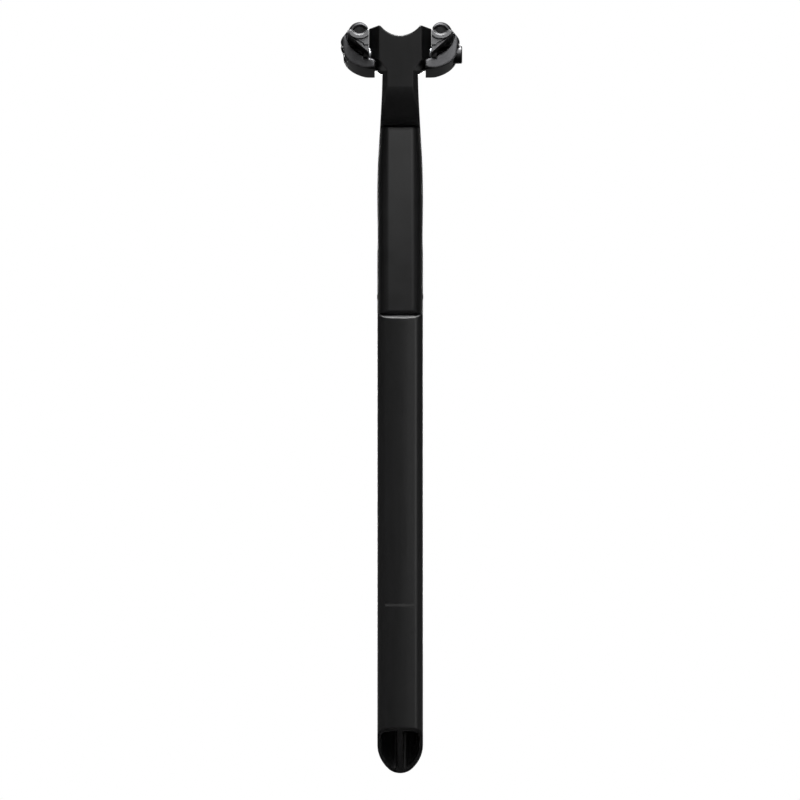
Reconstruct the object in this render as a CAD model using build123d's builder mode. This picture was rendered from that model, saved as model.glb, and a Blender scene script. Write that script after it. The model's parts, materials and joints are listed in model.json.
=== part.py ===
from build123d import *
import os
from math import atan2, cos, degrees, radians, sin, sqrt, tan

# A bicycle seatpost: a D-shaped carbon tube that turns into a flat leaf with a soft
# filler behind it, and a swept-back head whose single cross bolt clamps two saddle rails.
# The frame: Z up along the tube, the flat rear of the tube faces -Y, and the origin is on
# the tube's axis at the mark that shows how far the post goes into the bicycle's frame.
# All sizes are millimetres.

# Tube
TUBE_WIDTH = 24.8
TUBE_DEPTH = 28.0
NOSE_DEPTH = 17.4
REAR_CROWN = 1.0
REAR_CORNER = 4.8
TUBE_WALL = 2.0
WEB_THICKNESS = 3.2
CHAMBER_CORNER = 1.2
TIP_BELOW_MARK = 92.8
END_CUT_RISE = 25.6
CHAMBER_ROOF_BELOW_LEDGE = 9.0

# Swept neck
BOLT_HEIGHT = 298.0
SETBACK = 19.0
BEND_START = 190.0
TAPER_START = 225.0
TAPER_LENGTH = 65.0
NECK_WIDTH = 19.2
NOSE_DEPTH_AT_BOLT = 8.0
STATIONS = 6

# Recess behind the leaf, and its soft filler
LEDGE_HEIGHT = 157.3
LEDGE_BEVEL = 2.2
LEDGE_FLAT_HALF = 7.0
LEDGE_END_RADIUS = 7.0
RECESS_DEPTH = 10.6
RECESS_FILLET = 2.5
LEAF_LEAN = 3.0
UNDERSIDE_RISE = 23.0
ROOF_EDGE_INSET = 1.0
ROOF_RUN_OUT = 0.1
INSERT_LENGTH = 102.2
INSERT_INSET = 0.35
INSERT_GAP = 0.15
INSERT_LEAN = 0.8
INSERT_BOTTOM_ROUND = 2.2
INSERT_TOP_ROUND = 1.2
INSERT_TOP_CORNER = 4.6
INSERT_STATIONS = 4
NUB_HEIGHT = 9.5
NUB_RADIUS = 1.3
NUB_PROUD = 0.5

# Head
HEAD_HALF_WIDTH = 16.9
CORE_HALF_WIDTH = 13.2
PANEL_HALF_WIDTH = 11.5
NECK_PANEL_HALF = 7.0
PANEL_BEHIND_BOLT = 12.0
FACET_DEPTH = 8.2
NECK_FACET_DEPTH = 4.0
HEAD_FRONT_REACH = 6.0
FRONT_BEHIND = 10.5
HEAD_TOP_TILT = 12.0
HEAD_TOP_HEIGHT = 12.6
SCOOP_DEPTH = 5.3
SCOOP_HALF_CHORD = 10.8
EAR_BOTTOM = 1.5
CORE_BOTTOM = 11.0
CORE_ROUND = 4.0
FACET_TURN_TOP = 3.0
FACET_TURN_BOTTOM = 9.0
BOSS_RADIUS = 9.0
SLEEVE_RADIUS = 5.3
SLEEVE_BORE_RADIUS = 4.3
BOND_GAP = 0.05

# Saddle rails and the cradles under them
RAIL_TILT = 17.0
RAIL_X = 22.0
RAIL_UP = 9.8
RAIL_RADIUS = 3.5
CRADLE_LENGTH = 36.0
BED_WALL = 3.2
LIP_DROP = 1.8
SIDE_GAP = 0.1
DISC_THICKNESS = 2.6
DISC_RADIUS = 9.0
WEB_HALF_LENGTH = 16.8
DIAGONAL_START = 0.8
DIAGONAL_END_ANGLE = -45.0
RIM_CHAMFER = 1.2
SPIGOT_LENGTH = 7.0
SPIGOT_CLEARANCE = 0.05
BOLT_RADIUS = 3.0
BOLT_HOLE_CLEARANCE = 0.25

# Jaws over the rails
JAW_INNER_X = 13.8
JAW_OUTER_X = 30.8
JAW_FOOT = 10.8
JAW_LENGTH = 18.0
JAW_CORNER = 2.0
JAW_SLANT = 7.0
JAW_RUN_OUT = 0.05
JAW_BEVEL = 1.2
JAW_SEAT_GAP = 0.1
JAW_BORE_CLEARANCE = 0.35
BED_GAP = 0.5
SLOPE_GAP = 1.3
SLOPE_ANGLE = -50.0
SLOPE_FOOT_X = 21.8
SLOPE_FOOT_UP = -1.4
SKIRT_TOP = -5.3
HOOK_THICKNESS = 2.6
HOOK_TIP_THICKNESS = 1.7
HOOK_TIP_ANGLE = 150.0
HOOK_TOP_ANGLE = 90.0
HOOK_SIDE_ANGLE = 30.0
HOOK_ROOT_ANGLE = 5.0
BULGE_X = 32.2
BULGE_UP = 5.0

# Cross bolt, washer and barrel nut
BOLT_HEAD_RADIUS = 5.0
BOLT_HEAD_HEIGHT = 5.0
BOLT_HEAD_SEAT = 28.6
SOCKET_FLATS = 5.0
SOCKET_DEPTH = 2.8
HEAD_CHAMFER = 0.5
BOLT_END_X = -29.6
WASHER_RADIUS = 5.6
WASHER_THICKNESS = 1.0
SPOT_FACE_CLEARANCE = 0.3
NUT_RADIUS = 4.6
NUT_FLAT = 4.0
NUT_OUTER_X = 30.2
NUT_LENGTH = 10.0
NUT_FIT = 0.05
NUT_RECESS_CLEARANCE = 0.4

# Places worked out from the sizes above
TUBE_FRONT = TUBE_DEPTH / 2
TUBE_REAR = -TUBE_DEPTH / 2
BOLT_Y = -SETBACK
PANEL_Y = BOLT_Y - PANEL_BEHIND_BOLT
FLOOR_Y = TUBE_REAR + RECESS_DEPTH
INSERT_TOP = LEDGE_HEIGHT + INSERT_LENGTH
OVERSHOOT = 3.0
LOFT_TOP = BOLT_HEIGHT + HEAD_TOP_HEIGHT + 2 * OVERSHOOT
FACET_REACH = 1.6
FAR = 60.0

bolt_point = Vector(0, BOLT_Y, BOLT_HEIGHT)
bolt_axis = Axis(bolt_point, (1, 0, 0))
rail_rear = Vector(0, -cos(radians(RAIL_TILT)), sin(radians(RAIL_TILT)))
rail_plane = Plane(bolt_point, x_dir=(1, 0, 0), z_dir=rail_rear)
rail_side_plane = Plane(bolt_point, x_dir=rail_rear, z_dir=(-1, 0, 0))
rail_top_plane = Plane(bolt_point, x_dir=(1, 0, 0), z_dir=rail_plane.y_dir)
head_rear = Vector(0, -cos(radians(HEAD_TOP_TILT)), sin(radians(HEAD_TOP_TILT)))
head_plane = Plane(bolt_point, x_dir=(1, 0, 0), z_dir=head_rear)
rear_plane = Plane(bolt_point, x_dir=(1, 0, 0), z_dir=(0, -1, 0))
cross_plane = Plane(bolt_point, x_dir=(0, 1, 0), z_dir=(1, 0, 0))


def post_width(z):
    """Width of the post, narrowing smoothly from the tube to the neck."""
    share = min(max((z - TAPER_START) / TAPER_LENGTH, 0), 1)
    return TUBE_WIDTH - (TUBE_WIDTH - NECK_WIDTH) * share * share * (3 - 2 * share)


def post_front(z):
    """Front line of the post: an arc that leaves the tube and sweeps back to the head."""
    rise = BOLT_HEIGHT - BEND_START
    back = TUBE_FRONT - (BOLT_Y + FRONT_BEHIND)
    radius = (rise * rise + back * back) / (2 * back)
    up = max(z - BEND_START, 0)
    return TUBE_FRONT - radius + sqrt(radius * radius - up * up)


def post_nose(z):
    """Depth of the rounded front, which grows shallower towards the head."""
    share = max((z - BEND_START) / (BOLT_HEIGHT - BEND_START), 0)
    return NOSE_DEPTH - (NOSE_DEPTH - NOSE_DEPTH_AT_BOLT) * share


def d_outline(width, front, rear, nose, corner, crown):
    """Section with a flat or slightly crowned rear, rounded corners, straight sides and a three-arc nose."""
    half = width / 2
    tip = half * half / nose
    flank = nose * (nose + half) / (2 * half)
    meet = degrees(atan2(abs(nose - tip), abs(flank - half)))
    with BuildSketch() as outline:
        with BuildLine():
            if crown:
                ThreePointArc((-half, rear + crown), (0, rear), (half, rear + crown))
            else:
                Line((-half, rear), (half, rear))
            Line((half, rear + crown), (half, front - nose))
            CenterArc((half - flank, front - nose), flank, 0, meet)
            CenterArc((0, front - tip), tip, meet, 180 - 2 * meet)
            CenterArc((flank - half, front - nose), flank, 180 - meet, meet)
            Line((-half, front - nose), (-half, rear + crown))
        make_face()
        fillet(outline.vertices().group_by(Axis.Y)[0], corner)
    return outline.sketch


def tube_section():
    """The tube's outline below the bend, its rear a little crowned."""
    return d_outline(TUBE_WIDTH, TUBE_FRONT, TUBE_REAR, NOSE_DEPTH, REAR_CORNER, REAR_CROWN)


def post_section(z, rear):
    """The bent post's section at a height, with its own rear line."""
    return d_outline(post_width(z), post_front(z), rear, post_nose(z), REAR_CORNER, 0)


def insert_section(z):
    """The filler's section at a height: it carries on the tube's rear and sides as far as the leaf."""
    depth = RECESS_DEPTH + OVERSHOOT
    with BuildSketch() as outline:
        with Locations((0, TUBE_REAR + depth / 2)):
            Rectangle(post_width(z) - 2 * INSERT_INSET, depth)
        fillet(outline.vertices().group_by(Axis.Y)[0], REAR_CORNER)
    return outline.sketch


def chamber_section():
    """The hollow of the tube, one wall inside its outline."""
    width = TUBE_WIDTH - 2 * TUBE_WALL
    front = TUBE_FRONT - TUBE_WALL
    rear = TUBE_REAR + TUBE_WALL
    return d_outline(width, front, rear, NOSE_DEPTH - TUBE_WALL, REAR_CORNER - TUBE_WALL, REAR_CROWN)


def recess_side(gap):
    """Side view of the recess: bevelled ledge, leaf face, its roof and the round belly of the head."""
    ledge = LEDGE_HEIGHT + gap
    floor = FLOOR_Y - gap
    bevel_top = TUBE_REAR + LEDGE_BEVEL
    leaf_top = INSERT_TOP - RECESS_DEPTH / 2 - gap
    roof_edge = (TUBE_REAR + ROOF_EDGE_INSET, INSERT_TOP + INSERT_GAP - gap)
    roof_top = INSERT_TOP + UNDERSIDE_RISE - gap
    with BuildSketch() as outline:
        with BuildLine():
            bevel = Line((TUBE_REAR - OVERSHOOT, ledge - LEDGE_BEVEL - OVERSHOOT), (bevel_top, ledge))
            Line(bevel @ 1, (floor - RECESS_FILLET, ledge))
            CenterArc((floor - RECESS_FILLET, ledge + RECESS_FILLET), RECESS_FILLET, -90, 90)
            leaf = Line((floor, ledge + RECESS_FILLET), (floor - LEAF_LEAN, leaf_top))
            belly = TangentArc((PANEL_Y - ROOF_RUN_OUT, roof_top), roof_edge, tangent=(0, -1))
            Spline(leaf @ 1, roof_edge, tangents=[leaf % 1, -(belly % 1)])
            Polyline(belly @ 0, (-FAR, roof_top), (-FAR, bevel.position_at(0).Y), bevel @ 0)
        make_face()
    return outline.sketch


def recess_rear(gap):
    """Rear view of the recess: its lower corners curl up and run out at the sides."""
    low = LEDGE_HEIGHT + gap - LEDGE_BEVEL
    half = LEDGE_FLAT_HALF + LEDGE_END_RADIUS - gap
    high = BOLT_HEIGHT
    with BuildSketch() as outline:
        with Locations((0, (low + high) / 2)):
            Rectangle(2 * half, high - low)
        fillet(outline.vertices().group_by(Axis.Y)[0], LEDGE_END_RADIUS - gap)
    return outline.sketch


def recess_solid(gap):
    """The space behind the leaf, taken in by a gap all round."""
    with BuildPart() as space:
        with BuildSketch(Plane.YZ):
            add(recess_side(gap))
        extrude(amount=FAR, both=True)
        with BuildSketch(Plane.XZ):
            add(recess_rear(gap))
        extrude(amount=FAR, both=True, mode=Mode.INTERSECT)
    return space.part


def facet_section(panel_half, side_half, depth):
    """Plan of what is cut off a rear corner of the head to leave a sloping facet."""
    far = side_half + FAR
    past_side = panel_half + FACET_REACH * (side_half - panel_half)
    past_depth = PANEL_Y + FACET_REACH * depth
    with BuildSketch() as outline:
        with BuildLine():
            Polyline(
                (panel_half, PANEL_Y),
                (past_side, past_depth),
                (far, past_depth),
                (far, PANEL_Y - FAR),
                (panel_half, PANEL_Y - FAR),
                close=True,
            )
        make_face()
    return outline.sketch


# Post: the tube, the swept neck and the head are one moulding
with BuildPart() as facet_cut:
    facet_levels = [
        (BOLT_HEIGHT + FAR, PANEL_HALF_WIDTH, HEAD_HALF_WIDTH, FACET_DEPTH),
        (BOLT_HEIGHT - FACET_TURN_TOP, PANEL_HALF_WIDTH, HEAD_HALF_WIDTH, FACET_DEPTH),
        (BOLT_HEIGHT - FACET_TURN_BOTTOM, NECK_PANEL_HALF, NECK_WIDTH / 2, NECK_FACET_DEPTH),
        (BOLT_HEIGHT - FAR, NECK_PANEL_HALF, NECK_WIDTH / 2, NECK_FACET_DEPTH),
    ]
    for height, panel_half, side_half, depth in facet_levels:
        with BuildSketch(Plane.XY.offset(height)):
            add(facet_section(panel_half, side_half, depth))
    loft(ruled=True)
    mirror(about=Plane.YZ)

recess = recess_solid(0)

with BuildPart() as post:
    with BuildSketch(Plane.XY.offset(-TIP_BELOW_MARK)):
        add(tube_section())
    extrude(amount=TIP_BELOW_MARK + BEND_START)
    for step in range(STATIONS):
        z = BEND_START + (LOFT_TOP - BEND_START) * step / (STATIONS - 1)
        swept = min(max((z - TAPER_START) / (INSERT_TOP - TAPER_START), 0), 1)
        rear = TUBE_REAR + (PANEL_Y - OVERSHOOT - TUBE_REAR) * swept
        with BuildSketch(Plane.XY.offset(z)):
            add(post_section(z, rear))
    loft()
    # Core and ears of the head, drawn from behind
    with BuildSketch(rear_plane.offset(-HEAD_FRONT_REACH)) as core:
        with BuildLine():
            Polyline(
                (0, FAR),
                (HEAD_HALF_WIDTH, FAR),
                (HEAD_HALF_WIDTH, EAR_BOTTOM),
                (CORE_HALF_WIDTH, EAR_BOTTOM - (HEAD_HALF_WIDTH - CORE_HALF_WIDTH)),
                (CORE_HALF_WIDTH, CORE_ROUND - CORE_BOTTOM),
            )
            CenterArc((CORE_HALF_WIDTH - CORE_ROUND, CORE_ROUND - CORE_BOTTOM), CORE_ROUND, 0, -90)
            Polyline((CORE_HALF_WIDTH - CORE_ROUND, -CORE_BOTTOM), (0, -CORE_BOTTOM), (0, FAR))
        make_face()
        mirror(about=Plane.YZ)
    extrude(amount=HEAD_FRONT_REACH + PANEL_BEHIND_BOLT + OVERSHOOT)
    with BuildSketch(cross_plane):
        Circle(BOSS_RADIUS)
    extrude(amount=HEAD_HALF_WIDTH, both=True)
    # Rear panel, facets, sloping top and its scoop
    with BuildSketch(Plane.XZ.offset(-PANEL_Y)):
        with Locations((0, BOLT_HEIGHT)):
            Rectangle(2 * FAR, 2 * FAR)
    extrude(amount=FAR, mode=Mode.SUBTRACT)
    add(facet_cut.part, mode=Mode.SUBTRACT)
    scoop_radius = (SCOOP_HALF_CHORD**2 + SCOOP_DEPTH**2) / (2 * SCOOP_DEPTH)
    with BuildSketch(head_plane):
        with Locations((0, HEAD_TOP_HEIGHT + FAR)):
            Rectangle(2 * FAR, 2 * FAR)
        with Locations((0, HEAD_TOP_HEIGHT - SCOOP_DEPTH + scoop_radius)):
            Circle(scoop_radius)
    extrude(amount=FAR, both=True, mode=Mode.SUBTRACT)

    # Recess behind the leaf, cross bore, the tube's two chambers and its slanted end
    add(recess, mode=Mode.SUBTRACT)
    with BuildSketch(cross_plane):
        Circle(SLEEVE_RADIUS + BOND_GAP)
    extrude(amount=FAR, both=True, mode=Mode.SUBTRACT)
    with BuildSketch(Plane.XY.offset(-TIP_BELOW_MARK)) as chambers:
        add(chamber_section())
        Rectangle(WEB_THICKNESS, 2 * TUBE_DEPTH, mode=Mode.SUBTRACT)
        fillet(chambers.vertices().group_by(Axis.Y)[-1], CHAMBER_CORNER)
    extrude(amount=TIP_BELOW_MARK + LEDGE_HEIGHT - CHAMBER_ROOF_BELOW_LEDGE, mode=Mode.SUBTRACT)
    with BuildSketch(Plane.YZ):
        with BuildLine():
            Polyline(
                (TUBE_FRONT + TUBE_DEPTH, -TIP_BELOW_MARK - END_CUT_RISE),
                (TUBE_REAR - TUBE_DEPTH, -TIP_BELOW_MARK + 2 * END_CUT_RISE),
                (TUBE_REAR - TUBE_DEPTH, -TIP_BELOW_MARK - FAR),
                (TUBE_FRONT + TUBE_DEPTH, -TIP_BELOW_MARK - FAR),
                close=True,
            )
        make_face()
    extrude(amount=FAR, both=True, mode=Mode.SUBTRACT)

# Soft filler that fits the recess and carries on the tube's outline
insert_space = recess_solid(INSERT_GAP)
insert_rear = TUBE_REAR + INSERT_INSET
insert_bottom = LEDGE_HEIGHT + INSERT_GAP
with BuildPart() as rear_insert:
    with BuildSketch(Plane.XY.offset(LEDGE_HEIGHT)):
        add(insert_section(LEDGE_HEIGHT))
    extrude(amount=TAPER_START - LEDGE_HEIGHT)
    for step in range(INSERT_STATIONS):
        z = TAPER_START + (INSERT_TOP + OVERSHOOT - TAPER_START) * step / (INSERT_STATIONS - 1)
        with BuildSketch(Plane.XY.offset(z)):
            add(insert_section(z))
    loft()
    add(insert_space, mode=Mode.INTERSECT)
    with BuildSketch(Plane.YZ):
        with BuildLine():
            low = Line((TUBE_FRONT, insert_bottom), (insert_rear + INSERT_BOTTOM_ROUND, insert_bottom))
            turn = CenterArc(
                (insert_rear + INSERT_BOTTOM_ROUND, insert_bottom + INSERT_BOTTOM_ROUND),
                INSERT_BOTTOM_ROUND,
                -90,
                -90,
            )
            back = Line(turn @ 1, (insert_rear + INSERT_LEAN, INSERT_TOP - INSERT_TOP_ROUND))
            over = CenterArc(
                (insert_rear + INSERT_LEAN + INSERT_TOP_ROUND, INSERT_TOP - INSERT_TOP_ROUND),
                INSERT_TOP_ROUND,
                180,
                -90,
            )
            Polyline(over @ 1, (TUBE_FRONT, INSERT_TOP), low @ 0)
        make_face()
    extrude(amount=FAR, both=True, mode=Mode.INTERSECT)
    top_half = post_width(INSERT_TOP) / 2 - INSERT_INSET
    with BuildSketch(Plane.XZ) as top_view:
        with Locations((0, INSERT_TOP - INSERT_LENGTH / 2)):
            Rectangle(2 * top_half + 2 * INSERT_TOP_ROUND, INSERT_LENGTH)
        fillet(top_view.vertices().group_by(Axis.Y)[-1], INSERT_TOP_CORNER)
        with Locations((0, INSERT_TOP - INSERT_LENGTH / 2 - INSERT_TOP_CORNER)):
            Rectangle(2 * TUBE_WIDTH, INSERT_LENGTH)
    extrude(amount=FAR, both=True, mode=Mode.INTERSECT)
    nub_half = post_width(LEDGE_HEIGHT) / 2 - INSERT_INSET + NUB_PROUD
    nub_y = (FLOOR_Y + TUBE_REAR + REAR_CORNER) / 2
    with BuildSketch(Plane.YZ.offset(-nub_half)):
        with Locations((nub_y, LEDGE_HEIGHT + NUB_HEIGHT)):
            Circle(NUB_RADIUS)
    extrude(amount=2 * nub_half)

# Bush bonded into the head, in which the cradles' spigots turn
with BuildPart() as head_sleeve:
    with BuildSketch(cross_plane.offset(-HEAD_HALF_WIDTH)):
        Circle(SLEEVE_RADIUS)
        Circle(SLEEVE_BORE_RADIUS, mode=Mode.SUBTRACT)
    extrude(amount=2 * HEAD_HALF_WIDTH)


def rail_point(angle, radius):
    """A point round the right rail's centre, in the rail's own section."""
    return (RAIL_X + radius * cos(radians(angle)), RAIL_UP + radius * sin(radians(angle)))


# Cradles: a disc against the head that grows up through a web into the bed of the rail
cradle_inner = HEAD_HALF_WIDTH + SIDE_GAP
disc_outer = cradle_inner + DISC_THICKNESS
lip_up = RAIL_UP - LIP_DROP
bed_radius = RAIL_RADIUS + BED_WALL
slope_top = rail_point(DIAGONAL_END_ANGLE, bed_radius)
bolt_hole = BOLT_RADIUS + BOLT_HOLE_CLEARANCE
half_bed = CRADLE_LENGTH / 2


def cradle_web(grow):
    """Side view of a cradle below its bed: the disc round the bolt and the upright web."""
    with BuildSketch() as outline:
        Circle(DISC_RADIUS + grow)
        with Locations((0, lip_up / 2)):
            Rectangle(2 * WEB_HALF_LENGTH + 2 * grow, lip_up)
    return outline.sketch


with BuildPart() as cradle_right:
    with BuildSketch(rail_plane):
        with BuildLine():
            Polyline(
                (cradle_inner, -DISC_RADIUS),
                (cradle_inner, lip_up),
                (RAIL_X, lip_up),
                slope_top,
                (disc_outer, DIAGONAL_START),
                (disc_outer, -DISC_RADIUS),
                close=True,
            )
        make_face()
    extrude(amount=half_bed, both=True)
    with BuildSketch(rail_side_plane):
        add(cradle_web(0))
    extrude(amount=FAR, both=True, mode=Mode.INTERSECT)
    with BuildSketch(rail_plane):
        with Locations((RAIL_X, RAIL_UP)):
            Circle(bed_radius)
        with Locations((cradle_inner + FAR, lip_up - FAR)):
            Rectangle(2 * FAR, 2 * FAR, mode=Mode.INTERSECT)
    extrude(amount=half_bed, both=True)
    with BuildSketch(rail_plane):
        with Locations((RAIL_X, RAIL_UP)):
            Circle(RAIL_RADIUS)
    extrude(amount=FAR, both=True, mode=Mode.SUBTRACT)
    # Chamfered ends of the bed
    for end in (1, -1):
        with BuildSketch(rail_plane.offset(end * half_bed)):
            with Locations((RAIL_X, RAIL_UP)):
                Circle(RAIL_RADIUS + RIM_CHAMFER)
        with BuildSketch(rail_plane.offset(end * (half_bed - RIM_CHAMFER))):
            with Locations((RAIL_X, RAIL_UP)):
                Circle(RAIL_RADIUS)
        loft(mode=Mode.SUBTRACT)
    # Spigot, room for the nut's end, and the bolt hole
    with BuildSketch(cross_plane.offset(cradle_inner - SPIGOT_LENGTH)):
        Circle(SLEEVE_BORE_RADIUS - SPIGOT_CLEARANCE)
    extrude(amount=SPIGOT_LENGTH)
    with BuildSketch(cross_plane.offset(NUT_OUTER_X - NUT_LENGTH - NUT_RECESS_CLEARANCE)):
        Circle(NUT_RADIUS + NUT_RECESS_CLEARANCE)
    extrude(amount=FAR, mode=Mode.SUBTRACT)
    with BuildSketch(cross_plane):
        Circle(bolt_hole)
    extrude(amount=FAR, both=True, mode=Mode.SUBTRACT)

with BuildPart() as cradle_left:
    mirror(cradle_right.part, about=Plane.YZ)


# Jaws: a rounded foot under the bolt that grows up into a hook over the rail
hook_outer = RAIL_RADIUS + HOOK_THICKNESS
tip_inner = rail_point(HOOK_TIP_ANGLE, RAIL_RADIUS)
tip_outer = rail_point(HOOK_TIP_ANGLE, RAIL_RADIUS + HOOK_TIP_THICKNESS)
nose_angle = (HOOK_TOP_ANGLE + HOOK_TIP_ANGLE) / 2
nose_radius = RAIL_RADIUS + (HOOK_THICKNESS + HOOK_TIP_THICKNESS) / 2
crown_angle = (HOOK_SIDE_ANGLE + HOOK_TOP_ANGLE) / 2
crown_start = rail_point(HOOK_SIDE_ANGLE, hook_outer)
crown_way = (-sin(radians(HOOK_SIDE_ANGLE)), cos(radians(HOOK_SIDE_ANGLE)))
jaw_seat = disc_outer + JAW_SEAT_GAP
half_jaw = JAW_LENGTH / 2
slant = radians(JAW_SLANT)
middle_reach = half_jaw + JAW_INNER_X * tan(slant)
outer_reach = middle_reach - BULGE_X * tan(slant)


def slope_points(grow):
    """The jaw's inner line from the root of the hook down beside the cradle and under its disc."""
    return (
        rail_point(-HOOK_ROOT_ANGLE, bed_radius + BED_GAP + grow),
        rail_point(SLOPE_ANGLE, bed_radius + SLOPE_GAP + grow),
        (SLOPE_FOOT_X, SLOPE_FOOT_UP - grow),
        (JAW_INNER_X, SKIRT_TOP - grow),
    )


def jaw_opening(grow):
    """Rear view of the space between a jaw and its cradle."""
    root, middle, low, skirt = slope_points(grow)
    with BuildSketch() as outline:
        with BuildLine():
            ThreePointArc(root, middle, low)
            Polyline(low, skirt, (0, skirt[1]), (0, RAIL_UP), root)
        make_face()
    return outline.sketch


with BuildPart() as jaw_blank:
    # Rear view: the foot, the bulge outside the rail, the hook, and the slope beside the cradle
    root, middle, low, skirt = slope_points(0)
    with BuildSketch(rail_plane.offset(-JAW_LENGTH)):
        with BuildLine():
            foot = EllipticalCenterArc(
                (JAW_INNER_X, 0), JAW_OUTER_X - JAW_INNER_X, JAW_FOOT, -90, arc_size=90
            )
            bulge = Spline(foot @ 1, (BULGE_X, BULGE_UP), crown_start, tangents=[(0, 1), crown_way])
            crown = ThreePointArc(
                bulge @ 1,
                rail_point(crown_angle, hook_outer),
                rail_point(HOOK_TOP_ANGLE, hook_outer),
            )
            nose = ThreePointArc(crown @ 1, rail_point(nose_angle, nose_radius), tip_outer)
            tip = Line(nose @ 1, tip_inner)
            inside = ThreePointArc(
                tip @ 1,
                rail_point(HOOK_TOP_ANGLE, RAIL_RADIUS),
                rail_point(HOOK_ROOT_ANGLE, RAIL_RADIUS),
            )
            Line(inside @ 1, root)
            ThreePointArc(root, middle, low)
            Polyline(low, skirt, foot @ 0)
        make_face()
    extrude(amount=2 * JAW_LENGTH)
    # Rounded below the bolt, seen from the side, and slanting outwards, seen along the post
    with BuildSketch(rail_side_plane) as side:
        with Locations((0, (FAR - JAW_FOOT) / 2)):
            Rectangle(JAW_LENGTH + 2 * JAW_RUN_OUT, FAR + JAW_FOOT)
        fillet(side.vertices().group_by(Axis.Y)[0], JAW_CORNER)
    extrude(amount=-FAR, mode=Mode.INTERSECT)
    with BuildSketch(rail_top_plane) as plan:
        with BuildLine():
            Polyline(
                (0, middle_reach),
                (BULGE_X, outer_reach),
                (BULGE_X, -outer_reach),
                (0, -middle_reach),
                close=True,
            )
        make_face()
        fillet(plan.vertices().group_by(Axis.X)[-1], JAW_CORNER)
    extrude(amount=FAR, both=True, mode=Mode.INTERSECT)
    # Bevel along the inner line at both ends
    for way in (1, -1):
        face_start = rail_plane.from_local_coords(Vector(0, 0, way * middle_reach))
        face_normal = rail_plane.x_dir * (way * sin(slant)) + rail_plane.z_dir * cos(slant)
        face_way = rail_plane.x_dir * cos(slant) - rail_plane.z_dir * (way * sin(slant))
        jaw_face = Plane(face_start, x_dir=face_way, z_dir=face_normal)
        for depth in (-JAW_BEVEL, JAW_BEVEL):
            with BuildSketch(jaw_face.offset(way * depth)):
                add(jaw_opening(depth + JAW_BEVEL))
        loft(ruled=True, mode=Mode.SUBTRACT)
    # Seat of the cradle's disc, and the bolt hole
    with BuildSketch(rail_side_plane):
        add(cradle_web(JAW_BORE_CLEARANCE))
    extrude(amount=-jaw_seat, mode=Mode.SUBTRACT)
    with BuildSketch(cross_plane):
        Circle(bolt_hole)
    extrude(amount=FAR, both=True, mode=Mode.SUBTRACT)

washer_seat = BOLT_HEAD_SEAT - WASHER_THICKNESS
with BuildPart() as jaw_right:
    add(jaw_blank.part)
    with BuildSketch(cross_plane.offset(washer_seat)):
        Circle(WASHER_RADIUS + SPOT_FACE_CLEARANCE)
    extrude(amount=FAR, mode=Mode.SUBTRACT)


def nut_outline(fit):
    """Round barrel with two flats that keep it from turning in the jaw."""
    with BuildSketch() as outline:
        Circle(NUT_RADIUS + fit)
        Rectangle(2 * NUT_RADIUS + 4 * fit, 2 * NUT_FLAT + 2 * fit, mode=Mode.INTERSECT)
    return outline.sketch


nut_inner = -NUT_OUTER_X + NUT_LENGTH
with BuildPart() as jaw_left:
    mirror(jaw_blank.part, about=Plane.YZ)
    with BuildSketch(cross_plane.offset(nut_inner)):
        add(nut_outline(NUT_FIT))
    extrude(amount=-FAR, mode=Mode.SUBTRACT)

with BuildPart() as clamp_nut:
    with BuildSketch(cross_plane.offset(nut_inner)):
        add(nut_outline(0))
        Circle(BOLT_RADIUS + NUT_FIT, mode=Mode.SUBTRACT)
    extrude(amount=-NUT_LENGTH)

with BuildPart() as bolt_washer:
    with BuildSketch(cross_plane.offset(washer_seat)):
        Circle(WASHER_RADIUS)
        Circle(bolt_hole, mode=Mode.SUBTRACT)
    extrude(amount=WASHER_THICKNESS)

with BuildPart() as clamp_bolt:
    with BuildSketch(cross_plane.offset(BOLT_HEAD_SEAT)):
        Circle(BOLT_HEAD_RADIUS)
    extrude(amount=BOLT_HEAD_HEIGHT)
    chamfer(clamp_bolt.edges().sort_by(Axis.X)[-1], HEAD_CHAMFER)
    with BuildSketch(cross_plane.offset(BOLT_HEAD_SEAT + BOLT_HEAD_HEIGHT)):
        RegularPolygon(SOCKET_FLATS / 2, 6, major_radius=False)
    extrude(amount=-SOCKET_DEPTH, mode=Mode.SUBTRACT)
    with BuildSketch(cross_plane.offset(BOLT_HEAD_SEAT)):
        Circle(BOLT_RADIUS)
    extrude(amount=BOLT_END_X - BOLT_HEAD_SEAT)
    chamfer(clamp_bolt.edges().sort_by(Axis.X)[0], HEAD_CHAMFER)

pieces = {
    "post": post,
    "rear_insert": rear_insert,
    "head_sleeve": head_sleeve,
    "cradle_left": cradle_left,
    "cradle_right": cradle_right,
    "jaw_left": jaw_left,
    "jaw_right": jaw_right,
    "clamp_nut": clamp_nut,
    "bolt_washer": bolt_washer,
    "clamp_bolt": clamp_bolt,
}
os.makedirs("parts", exist_ok=True)
for name, piece in pieces.items():
    piece.part.label = name
    export_step(piece.part, f"parts/{name}.step")
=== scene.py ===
import json
import math

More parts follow.
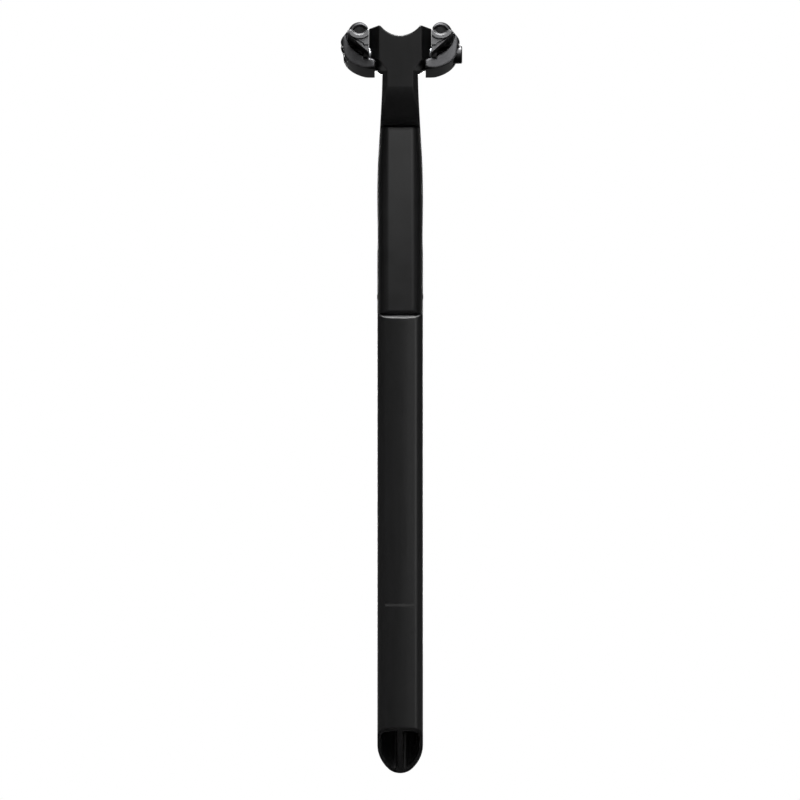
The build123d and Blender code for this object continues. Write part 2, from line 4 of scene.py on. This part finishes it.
import bpy
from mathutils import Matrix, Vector


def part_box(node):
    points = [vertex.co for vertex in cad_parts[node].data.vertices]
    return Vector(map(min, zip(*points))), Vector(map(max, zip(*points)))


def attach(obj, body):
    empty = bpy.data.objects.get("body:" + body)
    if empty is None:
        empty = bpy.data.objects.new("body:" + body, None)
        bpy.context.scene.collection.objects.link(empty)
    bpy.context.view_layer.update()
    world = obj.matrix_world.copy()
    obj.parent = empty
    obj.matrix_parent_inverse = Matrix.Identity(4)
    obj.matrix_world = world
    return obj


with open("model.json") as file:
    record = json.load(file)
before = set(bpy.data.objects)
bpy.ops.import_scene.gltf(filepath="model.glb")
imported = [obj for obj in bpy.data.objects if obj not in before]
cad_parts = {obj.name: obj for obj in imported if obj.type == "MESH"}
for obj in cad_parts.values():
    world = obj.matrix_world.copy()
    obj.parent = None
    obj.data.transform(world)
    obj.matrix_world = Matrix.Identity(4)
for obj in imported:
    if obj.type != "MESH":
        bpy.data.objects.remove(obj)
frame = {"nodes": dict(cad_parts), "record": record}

bl_info = {
    "name": "Seatpost Dresser",
    "version": (1, 0, 0),
    "blender": (4, 5, 0),
    "location": "3D View > Sidebar > Seatpost",
    "description": "Finishes, cradle gussets, the insertion mark and a studio for a carbon bicycle seatpost",
    "category": "Object",
}

MM = 0.001
WHITE = (1, 1, 1, 1)

# The middle of a noise, over which a finish runs from one value to another.
NOISE_LOW, NOISE_HIGH = 0.3, 0.7
# Cosines between a face and its rounded normal: on the plain face and out on the edge, where the painted edge
# highlight is none and full.
PLAIN_FACE, ROUNDED_EDGE = 1.0, 0.8
BEVEL_SAMPLES = 6
# Colour sockets of a Mix node, whose names repeat for each kind of data.
MIX_FIRST, MIX_SECOND, MIX_RESULT = 6, 7, 2
HOOK_SLOPE = 1.6
ANODISED_ROUGHNESS = 0.42

# The mark starts as a flat sheet just behind the tube and is then laid on it.
MARK_START = -15 * MM
MARK_COLUMNS, MARK_ROWS = 24, 2

# The pale sweep: a floor that turns up into a wall beyond the post, in metres.
SWEEP_SIZE, SWEEP_WALL = 16, 5
SWEEP_BEND, SWEEP_BEND_STEPS = 0.8, 10
PAPER = (0.85, 0.85, 0.85, 1)
SHADOW_SHARE, SHADOW_REACH = 0.4, 0.9
# In reflections the sweep is dark round the post and turns pale beyond it, aside of it and far off.
MIRRORED_DARK, MIRRORED_PALE = 0.02, 0.22
PALE_BEYOND, PALE_ASIDE, PALE_FAR = (0.3, 0.9), (0.15, 0.7), (1.5, 3.0)

# Softboxes: place, then width and height, in metres. Their powers are in the studio's settings.
SOFTBOXES = {
    "key": ((0.37, -2.1, 1.6), (0.5, 0.5)),
    "side": ((0.97, -2.4, 0.38), (1.0, 1.0)),
    "top": ((0.13, -0.75, 2.6), (1.7, 1.1)),
    "overhead": ((0.05, -0.2, 2.6), (0.5, 0.35)),
    "rim": ((0.1, 1.2, 2.3), (2.4, 0.8)),
    "front": ((0, 2.6, 0.7), (1.2, 1.6)),
}
LAMP_AIM = (0, -10 * MM)
SENSOR_WIDTH = 36
CAMERA_SHIFT = -0.1 * MM
VIEW_PLANE = -16 * MM
CLIP_END = 50


def colour_prop(name, description, default):
    """A colour that the sidebar shows."""
    return bpy.props.FloatVectorProperty(
        name=name, description=description, subtype="COLOR", size=3, min=0, max=1, default=default
    )


def share_prop(name, description, default):
    """A share from 0 to 1 that the sidebar shows."""
    return bpy.props.FloatProperty(
        name=name, description=description, subtype="FACTOR", min=0, max=1, default=default
    )


def length_prop(name, description, default):
    """A length in metres that the sidebar shows."""
    return bpy.props.FloatProperty(
        name=name, description=description, unit="LENGTH", min=0, default=default, precision=5
    )


def power_prop(name, description, default):
    """A lamp's power in watts that the sidebar shows."""
    return bpy.props.FloatProperty(name=name, description=description, unit="POWER", min=0, default=default)


class SeatpostFinishes(bpy.types.PropertyGroup):
    carbon_colour: colour_prop("Carbon", "Black composite under the satin clear coat", (0.003, 0.003, 0.0032))
    carbon_gloss: share_prop("Carbon roughness", "Roughness of the satin clear coat", 0.3)
    filler_colour: colour_prop("Filler", "Soft filler behind the leaf", (0.004, 0.004, 0.0042))
    filler_gloss: share_prop("Filler roughness", "Roughness of the moulded filler", 0.42)
    jaw_colour: colour_prop("Jaws", "Black anodised clamp jaws", (0.05, 0.05, 0.052))
    cradle_colour: colour_prop("Cradles", "Grey anodised rail cradles", (0.06, 0.06, 0.0615))
    bolt_colour: colour_prop("Bolt", "Black oxide of the cross bolt", (0.06, 0.06, 0.062))
    steel_colour: colour_prop("Nut and washer", "Plain steel of the nut and washer", (0.32, 0.32, 0.33))
    bush_colour: colour_prop("Bush", "Turned aluminium bush in the head", (0.55, 0.56, 0.58))
    mark_colour: colour_prop("Mark", "Printed line of the least insertion", (0.007, 0.007, 0.007))
    edge_radius: length_prop("Edge radius", "How far the other pieces' edges are broken", 0.45 * MM)
    jaw_radius: length_prop("Jaw radius", "How far the forged jaws' edges are rounded", 1.6 * MM)
    moulded_radius: length_prop("Moulded radius", "How far the carbon's edges are rounded", 1.1 * MM)
    hook_wall: length_prop("Hook wall", "Wall of the jaws' hooks, whose ends are rounded", 2.6 * MM)
    filler_flat: length_prop("Filler flat", "Half width of the filler's flat middle", 6.0 * MM)
    filler_side: bpy.props.FloatProperty(
        name="Filler sides", description="Slope of the filler's rear at its sides", min=0, max=3, default=1.6
    )
    filler_crown: share_prop("Filler crown", "Slope of the filler's rear at its top", 0.17)


class SeatpostSizes(bpy.types.PropertyGroup):
    mark_width: length_prop("Mark width", "Length of the printed line across the rear", 16.4 * MM)
    mark_height: length_prop("Mark height", "Height of the printed line", 1.4 * MM)
    mark_film: length_prop("Mark film", "Thickness of the printed film", 0.04 * MM)
    gusset_inner: length_prop("Gusset inner", "Inner side of the cradles' gussets", 17.0 * MM)
    gusset_width: length_prop("Gusset width", "Width of a gusset at its top", 9.25 * MM)
    gusset_height: length_prop("Gusset height", "Height of a gusset at the head", 8.57 * MM)
    gusset_top: length_prop("Gusset top", "Top of a gusset above the bolt, within the bed", 4.5 * MM)
    gusset_start: length_prop("Gusset start", "Where a gusset begins beyond the jaw", 9.4 * MM)
    gusset_end: length_prop("Gusset end", "Where a gusset ends under the bed", 15.78 * MM)


class SeatpostStudio(bpy.types.PropertyGroup):
    lens: bpy.props.FloatProperty(
        name="Lens", description="Focal length", unit="CAMERA", min=50, max=800, default=500
    )
    view_width: length_prop("View width", "Width of the view at the post", 0.434)
    aim_height: length_prop("Aim height", "Height of the view's middle above the mark", 110.67 * MM)
    floor_drop: length_prop("Floor drop", "How far the floor lies below the tip", 0.11)
    key_power: power_prop("Key", "Softbox above the camera", 22)
    side_power: power_prop("Side", "Weak softbox low on the right", 4.5)
    top_power: power_prop("Top", "Softbox high above the post", 110)
    overhead_power: power_prop("Overhead", "Small softbox straight above the post", 60)
    rim_power: power_prop("Rim", "Softbox above and beyond the post", 60)
    front_power: power_prop("Front", "Softbox on the hidden side", 60)
    room_light: share_prop("Room", "Soft light from all round", 0.02)


def clear_selection():
    """Leaves object mode with nothing selected."""
    if bpy.context.object and bpy.context.object.mode != "OBJECT":
        bpy.ops.object.mode_set(mode="OBJECT")
    bpy.ops.object.select_all(action="DESELECT")


def select_edges(piece, wanted):
    """Selects, in edit mode, the edges whose ends are all wanted."""
    bpy.ops.object.mode_set(mode="EDIT")
    bpy.ops.mesh.select_mode(type="EDGE")
    bpy.ops.mesh.select_all(action="DESELECT")
    bpy.ops.object.mode_set(mode="OBJECT")
    for edge in piece.data.edges:
        edge.select = all(wanted(piece.data.vertices[end].co) for end in edge.vertices)
    bpy.ops.object.mode_set(mode="EDIT")


def name_new(name):
    """Names the piece that an operator has just added."""
    piece = bpy.context.object
    piece.name = name
    piece.data.name = name
    return piece


def named(rows, name):
    """The row of the record that has a name."""
    return next(row for row in rows if row["name"] == name)


def scaled(colour, share):
    """A colour made darker or lighter."""
    return tuple(min(part * share, 1) for part in colour)


class Tree:
    """A node tree that is built up node by node."""

    def __init__(self, tree):
        self.nodes = tree.nodes
        self.links = tree.links

    def put(self, socket, value):
        """Links a socket from another one, or sets its constant."""
        if isinstance(value, bpy.types.NodeSocket):
            self.links.new(value, socket)
        else:
            socket.default_value = value

    def fill(self, node, **values):
        """Puts values on a node's inputs, which are named with _ for a space."""
        for key, value in values.items():
            self.put(node.inputs[key.replace("_", " ")], value)
        return node

    def add(self, kind, **values):
        """A new node with its inputs filled."""
        return self.fill(self.nodes.new(kind), **values)

    def number(self, operation, *parts):
        """One step of arithmetic on numbers."""
        node = self.nodes.new("ShaderNodeMath")
        node.operation = operation
        for socket, part in zip(node.inputs, parts):
            self.put(socket, part)
        return node.outputs[0]

    def vector(self, operation, *parts):
        """One step of arithmetic on vectors, as its Vector and Value outputs."""
        node = self.nodes.new("ShaderNodeVectorMath")
        node.operation = operation
        for socket, part in zip(node.inputs, parts):
            self.put(socket, part)
        return node.outputs

    def ramp(self, value, start, end, low=0.0, high=1.0, smooth=False):
        """A number that runs from low to high while a value runs from start to end."""
        node = self.add("ShaderNodeMapRange", Value=value, From_Min=start, From_Max=end)
        self.fill(node, To_Min=low, To_Max=high)
        if smooth:
            node.interpolation_type = "SMOOTHSTEP"
        return node.outputs[0]


class Finish(Tree):
    """A material's node tree with its shader."""

    def __init__(self, name):
        self.material = bpy.data.materials.new(name)
        self.material.use_nodes = True
        super().__init__(self.material.node_tree)
        self.shader = self.nodes["Principled BSDF"]
        self.place = self.add("ShaderNodeTexCoord").outputs["Object"]

    def set(self, **values):
        """Constants or links on the shader itself."""
        self.fill(self.shader, **values)

    def noise(self, scale, stretch=(1, 1, 1), detail=2.0):
        """Noise on the object's own coordinates, stretched along its axes."""
        spread = self.add("ShaderNodeMapping", Vector=self.place, Scale=stretch)
        return self.add("ShaderNodeTexNoise", Vector=spread.outputs[0], Scale=scale, Detail=detail).outputs[0]

    def between(self, share, low, high):
        """A number that runs from low to high over the middle of a noise."""
        return self.ramp(share, NOISE_LOW, NOISE_HIGH, low, high)

    def shade(self, share, dark, light):
        """A colour between two shades over the middle of a noise."""
        node = self.nodes.new("ShaderNodeValToRGB")
        ends = ((NOISE_LOW, dark), (NOISE_HIGH, light))
        for element, (position, colour) in zip(node.color_ramp.elements, ends):
            element.position = position
            element.color = (*colour, 1)
        self.links.new(share, node.inputs[0])
        return node.outputs[0]

    def mixed(self, share, first, second):
        """A colour mixed from a shade and a plain colour by a share."""
        node = self.nodes.new("ShaderNodeMix")
        node.data_type = "RGBA"
        self.put(node.inputs["Factor"], share)
        self.put(node.inputs[MIX_FIRST], first)
        self.put(node.inputs[MIX_SECOND], (*second, 1))
        return node.outputs[MIX_RESULT]

    def broken_edge(self, radius):
        """Normal of an edge that a mould, a tumbling or a brush has rounded."""
        node = self.add("ShaderNodeBevel", Radius=radius)
        node.samples = BEVEL_SAMPLES
        return node.outputs[0]

    def edge_share(self, normal):
        """How far the rounded normal leaves the face: 1 on an edge and 0 on a plain face."""
        face = self.add("ShaderNodeNewGeometry").outputs["True Normal"]
        return self.ramp(self.vector("DOT_PRODUCT", normal, face)["Value"], PLAIN_FACE, ROUNDED_EDGE)

    def bump(self, height, strength, distance, normal):
        """A fine bump over another normal."""
        node = self.add("ShaderNodeBump", Height=height, Strength=strength, Distance=distance, Normal=normal)
        return node.outputs[0]

    def falling(self, run, depth, normal):
        """A normal over a face that falls away with the square of a run."""
        square = self.number("MULTIPLY", run, run)
        node = self.add("ShaderNodeBump", Height=square, Distance=depth, Normal=normal)
        node.invert = True
        return node.outputs[0]

    def leaning(self, axis, low, high, slope, normal):
        """A normal that leans out along an axis, from none at one distance to the full slope at another."""
        away = self.number("ABSOLUTE", self.add("ShaderNodeSeparateXYZ", Vector=self.place).outputs[axis])
        return self.falling(self.ramp(away, low, high), slope * (high - low) / 2, normal)

    def rolled_end(self, centre, way, inner, outer, slope, normal):
        """A normal that rolls over the end of a ring, the same round an axis on either side of the middle."""
        split = self.add("ShaderNodeSeparateXYZ", Vector=self.place).outputs
        across = self.number("ABSOLUTE", split["X"])
        spot = self.add("ShaderNodeCombineXYZ", X=across, Y=split["Y"], Z=split["Z"]).outputs[0]
        arm = self.vector("SUBTRACT", spot, centre)["Vector"]
        reach = self.vector("LENGTH", self.vector("CROSS_PRODUCT", arm, way)["Vector"])["Value"]
        return self.falling(self.ramp(reach, inner, outer, -1, 1), slope * (outer - inner) / 4, normal)


def carbon_finish(settings):
    """Black composite: faint fibre streaks and patches under a satin coat with orange peel."""
    finish = Finish("satin_carbon")
    colour = settings.carbon_colour
    streak = finish.noise(scale=900, stretch=(1, 1, 0.03), detail=3)
    patch = finish.noise(scale=60, stretch=(1, 1, 0.6))
    peel = finish.noise(scale=700, detail=1)
    base = finish.shade(streak, scaled(colour, 0.75), scaled(colour, 1.3))
    edge = finish.broken_edge(settings.moulded_radius)
    finish.set(
        Base_Color=finish.mixed(finish.between(patch, 0, 0.6), base, scaled(colour, 0.85)),
        Roughness=finish.between(patch, settings.carbon_gloss - 0.01, settings.carbon_gloss + 0.04),
        Normal=finish.bump(peel, strength=0.12, distance=0.02 * MM, normal=edge),
        Coat_Weight=0.2,
        Coat_Roughness=0.3,
    )
    return finish.material


def filler_finish(settings):
    """Moulded elastomer: an even satin skin with a very fine grain and rounded sides."""
    finish = Finish("satin_filler")
    colour = settings.filler_colour
    cloud = finish.noise(scale=90, detail=3)
    grain = finish.noise(scale=3800)
    low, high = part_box("rear_insert")
    edge = finish.broken_edge(settings.edge_radius)
    round_side = finish.leaning("X", settings.filler_flat, high[0], settings.filler_side, edge)
    crown = finish.leaning("Z", low[2], high[2], settings.filler_crown, round_side)
    finish.set(
        Base_Color=finish.shade(cloud, scaled(colour, 0.9), scaled(colour, 1.12)),
        Roughness=finish.between(cloud, settings.filler_gloss - 0.02, settings.filler_gloss + 0.03),
        Normal=finish.bump(grain, strength=0.15, distance=0.02 * MM, normal=crown),
        Specular_IOR_Level=0.36,
    )
    return finish.material


def anodised_finish(name, colour, radius, highlight_gain, hook=None):
    """Bead-blasted and anodised aluminium, with a painted highlight: a paler colour along its broken edges."""
    finish = Finish(name)
    blast = finish.noise(scale=5200)
    cloud = finish.noise(scale=160)
    edge = finish.broken_edge(radius)
    painted_highlight = finish.edge_share(edge)
    if hook:
        edge = finish.rolled_end(*hook, edge)
    skin = finish.shade(cloud, scaled(colour, 0.9), scaled(colour, 1.1))
    finish.set(
        # Painted highlight: the broken edges take a paler colour that stands in for the light their chamfers
        # catch.
        Base_Color=finish.mixed(painted_highlight, skin, scaled(colour, highlight_gain)),
        Metallic=1.0,
        Roughness=finish.between(cloud, ANODISED_ROUGHNESS - 0.03, ANODISED_ROUGHNESS + 0.04),
        Normal=finish.bump(blast, strength=0.2, distance=0.015 * MM, normal=edge),
    )
    return finish.material


def turned_finish(name, colour, roughness, radius):
    """Turned metal: fine rings round the cross axis and a broken edge."""
    finish = Finish(name)
    rings = finish.noise(scale=2600, stretch=(1, 0.02, 0.02))
    cloud = finish.noise(scale=300)
    edge = finish.broken_edge(radius)
    finish.set(
        Base_Color=finish.shade(cloud, scaled(colour, 0.85), scaled(colour, 1.12)),
        Metallic=1.0,
        Roughness=finish.between(rings, roughness - 0.05, roughness + 0.06),
        Normal=finish.bump(rings, strength=0.15, distance=0.01 * MM, normal=edge),
    )
    return finish.material


def mark_finish(settings):
    """Thin print over the coat, a little uneven."""
    finish = Finish("printed_mark")
    cloud = finish.noise(scale=1500)
    colour = settings.mark_colour
    finish.set(
        Base_Color=finish.shade(cloud, scaled(colour, 0.9), scaled(colour, 1.1)),
        Roughness=finish.between(cloud, 0.5, 0.6),
    )
    return finish.material


def dress(material, *nodes):
    """Gives CAD nodes their finish."""
    for node in nodes:
        mesh = frame["nodes"][node].data
        mesh.materials.clear()
        mesh.materials.append(material)


class SEATPOST_OT_finish_post(bpy.types.Operator):
    """Give the one-piece carbon post and the soft filler behind its leaf their finishes"""

    bl_idname = "seatpost.finish_post"
    bl_label = "Finish Post and Filler"

    def execute(self, context):
        settings = context.scene.seatpost_finishes
        dress(carbon_finish(settings), "post")
        dress(filler_finish(settings), "rear_insert")
        return {"FINISHED"}


class SEATPOST_OT_finish_clamp(bpy.types.Operator):
    """Give the rail clamp's aluminium and steel pieces their finishes"""

    bl_idname = "seatpost.finish_clamp"
    bl_label = "Finish Rail Clamp"

    def execute(self, context):
        settings = context.scene.seatpost_finishes
        broken = settings.edge_radius
        rail = named(frame["record"]["mounts"], "rail_right")
        bore = rail["dims"]["r_mm"] * MM
        hook = (rail["pos_m"], rail["axis"], bore, bore + settings.hook_wall, HOOK_SLOPE)
        # Both anodised finishes paint a highlight on their broken edges, faint on the jaws and strong on the
        # cradles.
        jaw = anodised_finish("black_anodised", settings.jaw_colour, settings.jaw_radius, highlight_gain=1.1, hook=hook)
        cradle = anodised_finish("grey_anodised", settings.cradle_colour, broken, highlight_gain=4.5)
        steel = turned_finish("plain_steel", settings.steel_colour, roughness=0.34, radius=broken)
        bush = turned_finish("turned_bush", settings.bush_colour, roughness=0.36, radius=broken)
        bolt = turned_finish("black_oxide", settings.bolt_colour, roughness=0.36, radius=broken)
        dress(jaw, "jaw_left", "jaw_right")
        dress(cradle, "cradle_left", "cradle_right")
        dress(steel, "clamp_nut", "bolt_washer")
        dress(bush, "head_sleeve")
        dress(bolt, "clamp_bolt")
        return {"FINISHED"}


class SEATPOST_OT_add_gussets(bpy.types.Operator):
    """Add the slanting ribs under both ends of the rail beds, beside the jaws"""

    bl_idname = "seatpost.add_gussets"
    bl_label = "Add Cradle Gussets"

    def execute(self, context):
        sizes = context.scene.seatpost_sizes
        bolt = Vector(named(frame["record"]["behaviour"]["joints"], "clamp_tilt")["pos_m"])
        rail = Vector(named(frame["record"]["mounts"], "rail_left")["axis"])
        tilt = math.atan2(rail.z, -rail.y)
        length = sizes.gusset_end - sizes.gusset_start
        foot = sizes.gusset_top - sizes.gusset_height
        clear_selection()
        bpy.ops.mesh.primitive_cube_add(
            size=1,
            location=(
                sizes.gusset_inner + sizes.gusset_width / 2,
                -sizes.gusset_start - length / 2,
                sizes.gusset_top - sizes.gusset_height / 2,
            ),
        )
        piece = name_new("cradle_gussets")
        piece.scale = (sizes.gusset_width, length, sizes.gusset_height)
        bpy.ops.object.transform_apply(location=True, rotation=True, scale=True)
        bpy.ops.object.mode_set(mode="EDIT")
        bpy.ops.mesh.select_all(action="SELECT")
        slope = math.atan2(sizes.gusset_height, sizes.gusset_width)
        bpy.ops.mesh.bisect(
            plane_co=(sizes.gusset_inner, 0, foot),
            plane_no=(math.sin(slope), 0, -math.cos(slope)),
            use_fill=True,
            clear_outer=True,
        )
        bpy.ops.object.mode_set(mode="OBJECT")
        mirror = piece.modifiers.new("both_ends_and_sides", "MIRROR")
        mirror.use_axis = (True, True, False)
        mirror.use_mirror_merge = False
        bpy.ops.object.modifier_apply(modifier=mirror.name)
        bpy.ops.object.mode_set(mode="EDIT")
        bpy.ops.mesh.select_all(action="SELECT")
        bpy.ops.transform.rotate(value=tilt, orient_axis="X", center_override=(0, 0, 0))
        bpy.ops.transform.translate(value=bolt)
        bpy.ops.mesh.normals_make_consistent(inside=False)
        bpy.ops.object.mode_set(mode="OBJECT")
        piece.data.materials.append(frame["nodes"]["cradle_left"].data.materials[0])
        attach(piece, "cradle_set")
        return {"FINISHED"}


class SEATPOST_OT_add_mark(bpy.types.Operator):
    """Add the printed line that shows how far the post goes into the bicycle's frame"""

    bl_idname = "seatpost.add_mark"
    bl_label = "Add Insertion Mark"

    def execute(self, context):
        sizes = context.scene.seatpost_sizes
        clear_selection()
        bpy.ops.mesh.primitive_grid_add(
            x_subdivisions=MARK_COLUMNS,
            y_subdivisions=MARK_ROWS,
            size=1,
            location=(0, MARK_START, -sizes.mark_height / 2),
            rotation=(math.pi / 2, 0, 0),
        )
        piece = name_new("insertion_mark")
        piece.scale = (sizes.mark_width, sizes.mark_height, 1)
        bpy.ops.object.transform_apply(location=True, rotation=True, scale=True)
        wrap = piece.modifiers.new("lay_on_rear", "SHRINKWRAP")
        wrap.target = frame["nodes"]["post"]
        wrap.wrap_method = "PROJECT"
        wrap.use_project_y = True
        wrap.use_negative_direction = False
        wrap.use_positive_direction = True
        bpy.ops.object.modifier_apply(modifier=wrap.name)
        film = piece.modifiers.new("film", "SOLIDIFY")
        film.thickness = 2 * sizes.mark_film
        film.offset = 0
        bpy.ops.object.modifier_apply(modifier=film.name)
        piece.data.materials.append(mark_finish(context.scene.seatpost_finishes))
        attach(piece, "post_body")
        return {"FINISHED"}


def white_stage_finish():
    """Pale paper: white to the camera, shaded near the post, and dark round it in reflections."""
    material = bpy.data.materials.new("pale_sweep")
    material.use_nodes = True
    tree = Tree(material.node_tree)
    tree.nodes.clear()
    place = tree.add("ShaderNodeTexCoord").outputs["Object"]
    split = tree.add("ShaderNodeSeparateXYZ", Vector=place).outputs
    reach = tree.vector("LENGTH", place)["Value"]
    aside = tree.number("ABSOLUTE", split["X"])
    path = tree.add("ShaderNodeLightPath").outputs
    seen = tree.number("MAXIMUM", path["Is Camera Ray"], path["Is Transmission Ray"])
    shadow = tree.ramp(reach, 0, SHADOW_REACH, 1 - SHADOW_SHARE, 1, smooth=True)
    glowing = tree.number("MAXIMUM", tree.number("MULTIPLY", seen, shadow), path["Is Glossy Ray"])
    strength = seen
    for distance, run in ((split["Y"], PALE_BEYOND), (aside, PALE_ASIDE), (reach, PALE_FAR)):
        pale = tree.ramp(distance, *run, MIRRORED_DARK, MIRRORED_PALE, smooth=True)
        strength = tree.number("MAXIMUM", strength, pale)
    paper = tree.add("ShaderNodeBsdfDiffuse", Color=PAPER)
    glow = tree.add("ShaderNodeEmission", Color=WHITE, Strength=strength)
    mix = tree.add("ShaderNodeMixShader")
    for socket, part in zip(mix.inputs, (glowing, paper.outputs[0], glow.outputs[0])):
        tree.put(socket, part)
    tree.add("ShaderNodeOutputMaterial", Surface=mix.outputs[0])
    return material


def white_room(scene, level):
    """A room that is white to the camera and lights the post softly."""
    world = bpy.data.worlds.new("studio_room")
    scene.world = world
    world.use_nodes = True
    tree = Tree(world.node_tree)
    path = tree.add("ShaderNodeLightPath").outputs
    seen = tree.number("MAXIMUM", path["Is Camera Ray"], path["Is Transmission Ray"])
    tree.fill(tree.nodes["Background"], Color=WHITE, Strength=tree.ramp(seen, 0, 1, level, 1))


def add_sweep(floor):
    """The pale floor that bends up into a wall beyond the post."""
    clear_selection()
    bpy.ops.mesh.primitive_plane_add(size=SWEEP_SIZE, location=(0, 0, floor))
    sweep = name_new("studio_sweep")
    select_edges(sweep, lambda end: end.y > SWEEP_SIZE / 4)
    bpy.ops.mesh.extrude_region_move(TRANSFORM_OT_translate={"value": (0, 0, SWEEP_WALL)})
    select_edges(sweep, lambda end: end.y > SWEEP_SIZE / 4 and end.z < SWEEP_WALL / 2)
    bpy.ops.mesh.bevel(offset=SWEEP_BEND, segments=SWEEP_BEND_STEPS, affect="EDGES")
    bpy.ops.object.mode_set(mode="OBJECT")
    bpy.ops.object.shade_smooth()
    sweep.data.materials.append(white_stage_finish())


def add_softbox(name, place, size, aim, power):
    """A soft rectangular lamp that the camera doesn't see."""
    clear_selection()
    bpy.ops.object.light_add(type="AREA", location=place)
    lamp = name_new(name)
    lamp.rotation_euler = (Vector(aim) - Vector(place)).to_track_quat("-Z", "Y").to_euler()
    lamp.data.shape = "RECTANGLE"
    lamp.data.size, lamp.data.size_y = size
    lamp.data.energy = power
    lamp.visible_camera = False


def add_camera(scene, studio):
    """The camera straight behind the post, with a long lens."""
    distance = studio.view_width * studio.lens / SENSOR_WIDTH
    clear_selection()
    bpy.ops.object.camera_add(
        location=(CAMERA_SHIFT, VIEW_PLANE - distance, studio.aim_height), rotation=(math.pi / 2, 0, 0)
    )
    camera = name_new("rear_camera")
    camera.data.sensor_width = SENSOR_WIDTH
    camera.data.lens = studio.lens
    camera.data.dof.use_dof = False
    camera.data.clip_end = CLIP_END
    scene.camera = camera


class SEATPOST_OT_add_studio(bpy.types.Operator):
    """Add the pale sweep, the soft lamps and the camera straight behind the post"""

    bl_idname = "seatpost.add_studio"
    bl_label = "Add Studio"

    def execute(self, context):
        scene = context.scene
        studio = scene.seatpost_studio
        add_sweep(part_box("post")[0][2] - studio.floor_drop)
        white_room(scene, studio.room_light)
        for name, (place, size) in SOFTBOXES.items():
            power = getattr(studio, name + "_power")
            add_softbox(name + "_softbox", place, size, (*LAMP_AIM, studio.aim_height), power)
        add_camera(scene, studio)
        scene.view_settings.view_transform = "Standard"
        return {"FINISHED"}


class SEATPOST_PT_dresser(bpy.types.Panel):
    """Sidebar panel with the seatpost's settings, and its pieces in the order they are made"""

    bl_label = "Seatpost"
    bl_idname = "SEATPOST_PT_dresser"
    bl_space_type = "VIEW_3D"
    bl_region_type = "UI"
    bl_category = "Seatpost"

    def draw(self, context):
        for group in ("seatpost_finishes", "seatpost_sizes", "seatpost_studio"):
            settings = getattr(context.scene, group)
            box = self.layout.box()
            for key in settings.__annotations__:
                box.prop(settings, key)
        for operator in STEPS:
            self.layout.operator(operator.bl_idname)


STEPS = (
    SEATPOST_OT_finish_post,
    SEATPOST_OT_finish_clamp,
    SEATPOST_OT_add_gussets,
    SEATPOST_OT_add_mark,
    SEATPOST_OT_add_studio,
)
CLASSES = (SeatpostFinishes, SeatpostSizes, SeatpostStudio, *STEPS, SEATPOST_PT_dresser)


def register():
    for entry in CLASSES:
        bpy.utils.register_class(entry)
    bpy.types.Scene.seatpost_finishes = bpy.props.PointerProperty(type=SeatpostFinishes)
    bpy.types.Scene.seatpost_sizes = bpy.props.PointerProperty(type=SeatpostSizes)
    bpy.types.Scene.seatpost_studio = bpy.props.PointerProperty(type=SeatpostStudio)


def unregister():
    del bpy.types.Scene.seatpost_studio
    del bpy.types.Scene.seatpost_sizes
    del bpy.types.Scene.seatpost_finishes
    for entry in reversed(CLASSES):
        bpy.utils.unregister_class(entry)


def main():
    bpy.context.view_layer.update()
    register()
    bpy.ops.seatpost.finish_post()
    bpy.ops.seatpost.finish_clamp()
    bpy.ops.seatpost.add_gussets()
    bpy.ops.seatpost.add_mark()
    bpy.ops.seatpost.add_studio()


if __name__ == "__main__":
    main()
